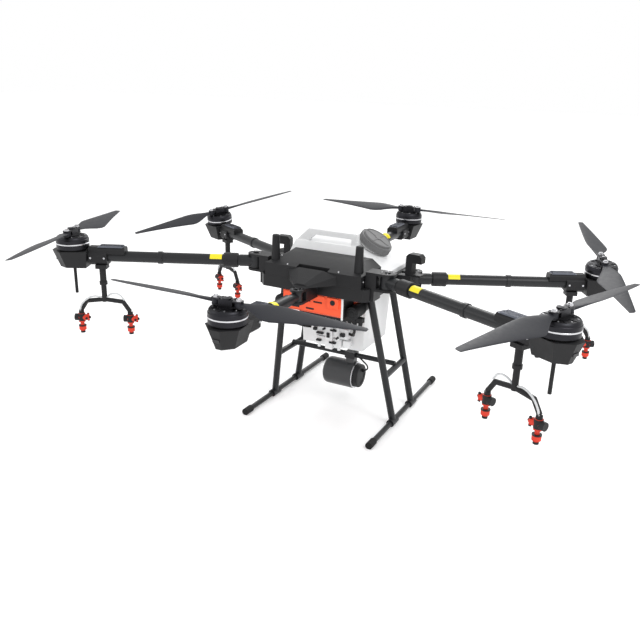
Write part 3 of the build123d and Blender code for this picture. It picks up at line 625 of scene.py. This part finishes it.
# ---- airframe: cap screws and hinge heads ----------------------------------------------------
# Button-head screws hold the fork plates and the cover; they are bright zinc-plated steel. A small
# moulded fairing leads from the cover down to the nose hinge.
screws = bmesh.new()
COVER_EDGE = (-204, 588)             # y and z of the cover's front edge
COVER_RISE, COVER_RUN = 26, 86       # how the cover climbs toward the tank
COVER_SLOPE = math.atan2(COVER_RISE, COVER_RUN)
COVER_SCREWS = ((96, -196), (146, -150))     # x and y, mirrored
SIDE_WALL = 181
SIDE_SCREWS = ((-186, 568), (-64, 568))      # y and z on each side wall
SCREW_R = 3.4
for side in (-1, 1):
    for x, y in COVER_SCREWS:
        z = COVER_EDGE[1] + (y - COVER_EDGE[0]) * COVER_RISE / COVER_RUN
        lay = Matrix.Translation((side * x * MM, y * MM, z * MM)) \
            @ Matrix.Rotation(COVER_SLOPE, 4, "X")
        drum(screws, SCREW_R, -0.6, 2.4, lay, 14, 2.6)
    for y, z in SIDE_SCREWS:
        lay = Matrix.Translation((side * SIDE_WALL * MM, y * MM, z * MM)) @ Matrix.Rotation(
            math.radians(90 * side), 4, "Y")
        drum(screws, 3.2, -0.5, 2.2, lay, 14, 2.4)
add("cover_screws", screws, bright_ring, "airframe")
hinge = Vector(joints["fold_nose"]["pos_m"]) / MM
low = hinge.z + 25.6                 # just over the fork's upper plate
fairing = bmesh.new()
for x, y, z in ((92, -203, low), (92, -203, 578), (44, -203, 590), (24, -281, low),
                (24, -281, low + 7), (13, -281, low + 12), (58, -240, low), (58, -240, low + 9)):
    for side in (-1, 1):
        fairing.verts.new((side * x * MM, y * MM, z * MM))
bmesh.ops.convex_hull(fairing, input=fairing.verts)
soften(fairing, 0.0012, 12)
add("nose_fairing", fairing, black_plastic, "airframe")
heads = bmesh.new()
for name in STATIONS:
    place, length = arm_frame(name)
    rise, reach = (30.6, 19.0) if name in CORNERS else (24.6, 15.5)
    for turn in (45, 135, 225, 315):
        spot = shifted(place @ Matrix.Rotation(math.radians(turn), 4, "Z"), x=reach)
        drum(heads, 2.4, rise - 0.6, rise + 1.6, spot, 12)
add("fork_screws", heads, steel, "airframe")


# ---- pump case, pumps and plumbing -----------------------------------------------------------
# The orange case has a raised outlet boss and black slots; the pump heads face forward beside it.
# A row of black hose unions hangs under it, and a white valve body with black latches and rubber
# hoses sits lower, in front of the tank.
UNIONS, UNION_PITCH = 12, 20
UNION_START, UNION_Y = -62, -141
PUMP_AT = (138, -170, 448)           # middle of each pump's face, mirrored
PUMP_SCREWS, PUMP_SCREW_CIRCLE = 6, 14.5
LATCHES = ((-50, 331, 12, 10), (-30, 318, 26, 6), (4, 316, 10, 18), (24, 337, 24, 6),
           (60, 326, 16, 12), (-34, 290, 18, 6), (22, 290, 24, 6))   # x, z, width, height
VALVE_PORTS = (-52, -18, 18, 52)
VALVE_HOSE_R, PUMP_HOSE_R = 4.0, 5.0
boss = bmesh.new()
block(boss, (58, -201, 464), (102, -195.5, 500))
block(boss, (-104, -199, 490), (48, -195.5, 500))
soften(boss, 0.0016)
add("case_boss", boss, orange_shell, "airframe")
dark = bmesh.new()
lay = Matrix.Translation((80 * MM, -201 * MM, 484 * MM)) @ forward
drum(dark, 9.0, -1.0, 1.2, lay, 28)
for x in (-40, 4):
    block(dark, (x + 1, -195.2, 472.6), (x + 33, -194.2, 477.4))
for x in (-78, -22):
    block(dark, (x, -196.6, 446), (x + 30, -195.6, 452))
for side in (-1, 1):
    pump_x, pump_y, pump_z = PUMP_AT
    lay = Matrix.Translation((side * pump_x * MM, pump_y * MM, pump_z * MM)) @ forward
    lathe(dark, [(0.0, 5.0), (7.0, 5.0), (8.0, 3.2), (17.0, 3.2), (18.5, 1.6), (22.0, 1.6),
                 (22.6, -0.5), (0.0, -0.5)], lay, 40)
    for turn in range(PUMP_SCREWS):
        spot = lay @ Matrix.Rotation(2 * math.pi * turn / PUMP_SCREWS, 4, "Z")
        drum(dark, 2.2, 2.8, 4.6, shifted(spot, x=PUMP_SCREW_CIRCLE), 10)
for x, z, wide, tall in LATCHES:
    block(dark, (x - wide / 2, -77, z - tall / 2), (x + wide / 2, -64, z + tall / 2))
for x, z in ((-12, 338), (42, 312)):
    lay = Matrix.Translation((x * MM, -70 * MM, z * MM)) @ forward
    drum(dark, 4.6, 0.0, 13.0, lay, 6)
block(dark, (-72, -152, 412), (168, -130, 429))
for tooth in range(UNIONS):
    lay = Matrix.Translation(((UNION_START + UNION_PITCH * tooth) * MM, UNION_Y * MM, 0))
    drum(dark, 6.8, 398.0, 413.0, lay, 6)
    drum(dark, 4.2, 384.0 + 5 * (tooth % 3), 399.0, lay, 14)
add("pump_faces", dark, black_plastic, "airframe")
plate = bmesh.new()
block(plate, (110.5, -198.5, 428), (118, -195, 508))
block(plate, (-62, -66, 308), (78, -38, 346))
block(plate, (-48, -66, 272), (52, -40, 304))
block(plate, (-8, -72, 262), (20, -36, 350))
block(plate, (-66, -58, 284), (-50, -40, 322))
block(plate, (30, -70, 296), (46, -40, 352))
block(plate, (58, -60, 276), (84, -38, 300))
for x in VALVE_PORTS:
    drum(plate, 7.5, 350.0, 366.0, Matrix.Translation((x * MM, -58 * MM, 0)), 20)
for x in (-40, 40):
    drum(plate, 6.0, 258.0, 276.0, Matrix.Translation((x * MM, -54 * MM, 0)), 20)
soften(plate, 0.0015)
add("valve_body", plate, white_tank, "airframe")
for number, x in enumerate(VALVE_PORTS):
    knots = ((x, -90, 386), (x + 4, -98, 372), (x + 6, -78, 356), (x, -58, 358))
    hose(f"valve_hose_{number + 1}", [Vector(knot) * MM for knot in knots], VALVE_HOSE_R,
         rubber_black, "airframe")
for side in (-1, 1):
    run = ((138, -150, 412), (136, -138, 384), (118, -104, 352), (94, -62, 330), (76, -52, 328))
    hose("pump_hose_left" if side > 0 else "pump_hose_right",
         [Vector((side * x, y, z)) * MM for x, y, z in run], PUMP_HOSE_R, rubber_black,
         "airframe")


# ---- tank and lid ----------------------------------------------------------------------------
# The blow-moulded tank has a thickened collar round its filler neck; the screw lid has a rolled
# rim, a sunk face and cross ribs for the hand.
NECK_LEAN = math.radians(31)
NECK_AT = (104, 92, 646)
LID_FACE = 8.5                       # the lid's sunk face, along the neck
NECK_PLACE = Matrix.Translation([value * MM for value in NECK_AT]) \
    @ Matrix.Rotation(NECK_LEAN, 4, "Y")
collar = bmesh.new()
lathe(collar, [(46.5, -40.0), (52.5, -40.0), (54.0, -38.5), (54.0, -33.5), (52.5, -32.0),
               (46.5, -32.0)], NECK_PLACE)
add("neck_collar", collar, white_tank, "tank")
rim = bmesh.new()
lathe(rim, [(47.0, LID_FACE), (48.2, 10.6), (50.5, 11.4), (52.6, 10.6), (53.4, LID_FACE)],
      NECK_PLACE, 72)
lathe(rim, [(0.0, 11.6), (10.0, 11.6), (11.4, 10.4), (11.4, LID_FACE), (0.0, LID_FACE)],
      NECK_PLACE, 40)
for turn in (0, 90):
    lay = NECK_PLACE @ Matrix.Rotation(math.radians(turn), 4, "Z")
    block(rim, (-46, -2.4, LID_FACE), (46, 2.4, 10.8), lay)
lathe(rim, [(60.5, -21.0), (62.6, -20.4), (62.6, -17.4), (60.5, -16.8)], NECK_PLACE, 72)
add("lid_relief", rim, lid_gray, "tank_lid")


# ---- radar -----------------------------------------------------------------------------------
# A moulded radome with a domed left end, a bright clamp ring and a smaller dark connector cap;
# it hangs from the cross bar on a short stalk.
AXIS_Y, AXIS_Z = 60, 124
RADOME_R = 52.0
across = Matrix.Translation((0, AXIS_Y * MM, AXIS_Z * MM)) @ Matrix.Rotation(
    math.radians(90), 4, "Y")
shell = bmesh.new()
lathe(shell, [(0.0, -62.0), (34.0, -61.6), (42.0, -60.0), (48.0, -56.0), (51.2, -50.0),
              (RADOME_R, -43.0), (RADOME_R, 57.0), (51.0, 59.4), (46.0, 60.0), (0.0, 60.0)],
      across, 72)
block(shell, (24, 44, 172), (56, 76, 193.5))
radome = add("radar_drum", shell, radome_gray, "airframe")
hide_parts("radar_housing")
ring = bmesh.new()
lathe(ring, [(45.5, 60.4), (49.8, 60.4), (50.4, 61.0), (50.4, 63.6), (49.8, 64.2), (45.5, 64.2)],
      across, 72)
add("radar_ring", ring, bright_ring, "airframe")
cap = bmesh.new()
lathe(cap, [(0.0, 60.2), (45.0, 60.2), (45.0, 80.0), (43.5, 83.0), (40.0, 84.0), (30.0, 84.0),
            (29.0, 82.0), (0.0, 82.0)], across, 64)
drum(cap, 6.0, 82.0, 92.0, across @ Matrix.Translation((-0.018, 0.012, 0)), 20)
add("radar_cap", cap, black_plastic, "airframe")
LEAD_RUN = ((90, 72, 142), (104, 70, 158), (86, 62, 186), (60, 60, 205))
hose("radar_lead", [Vector(knot) * MM for knot in LEAD_RUN], 3.0, rubber_black, "airframe")
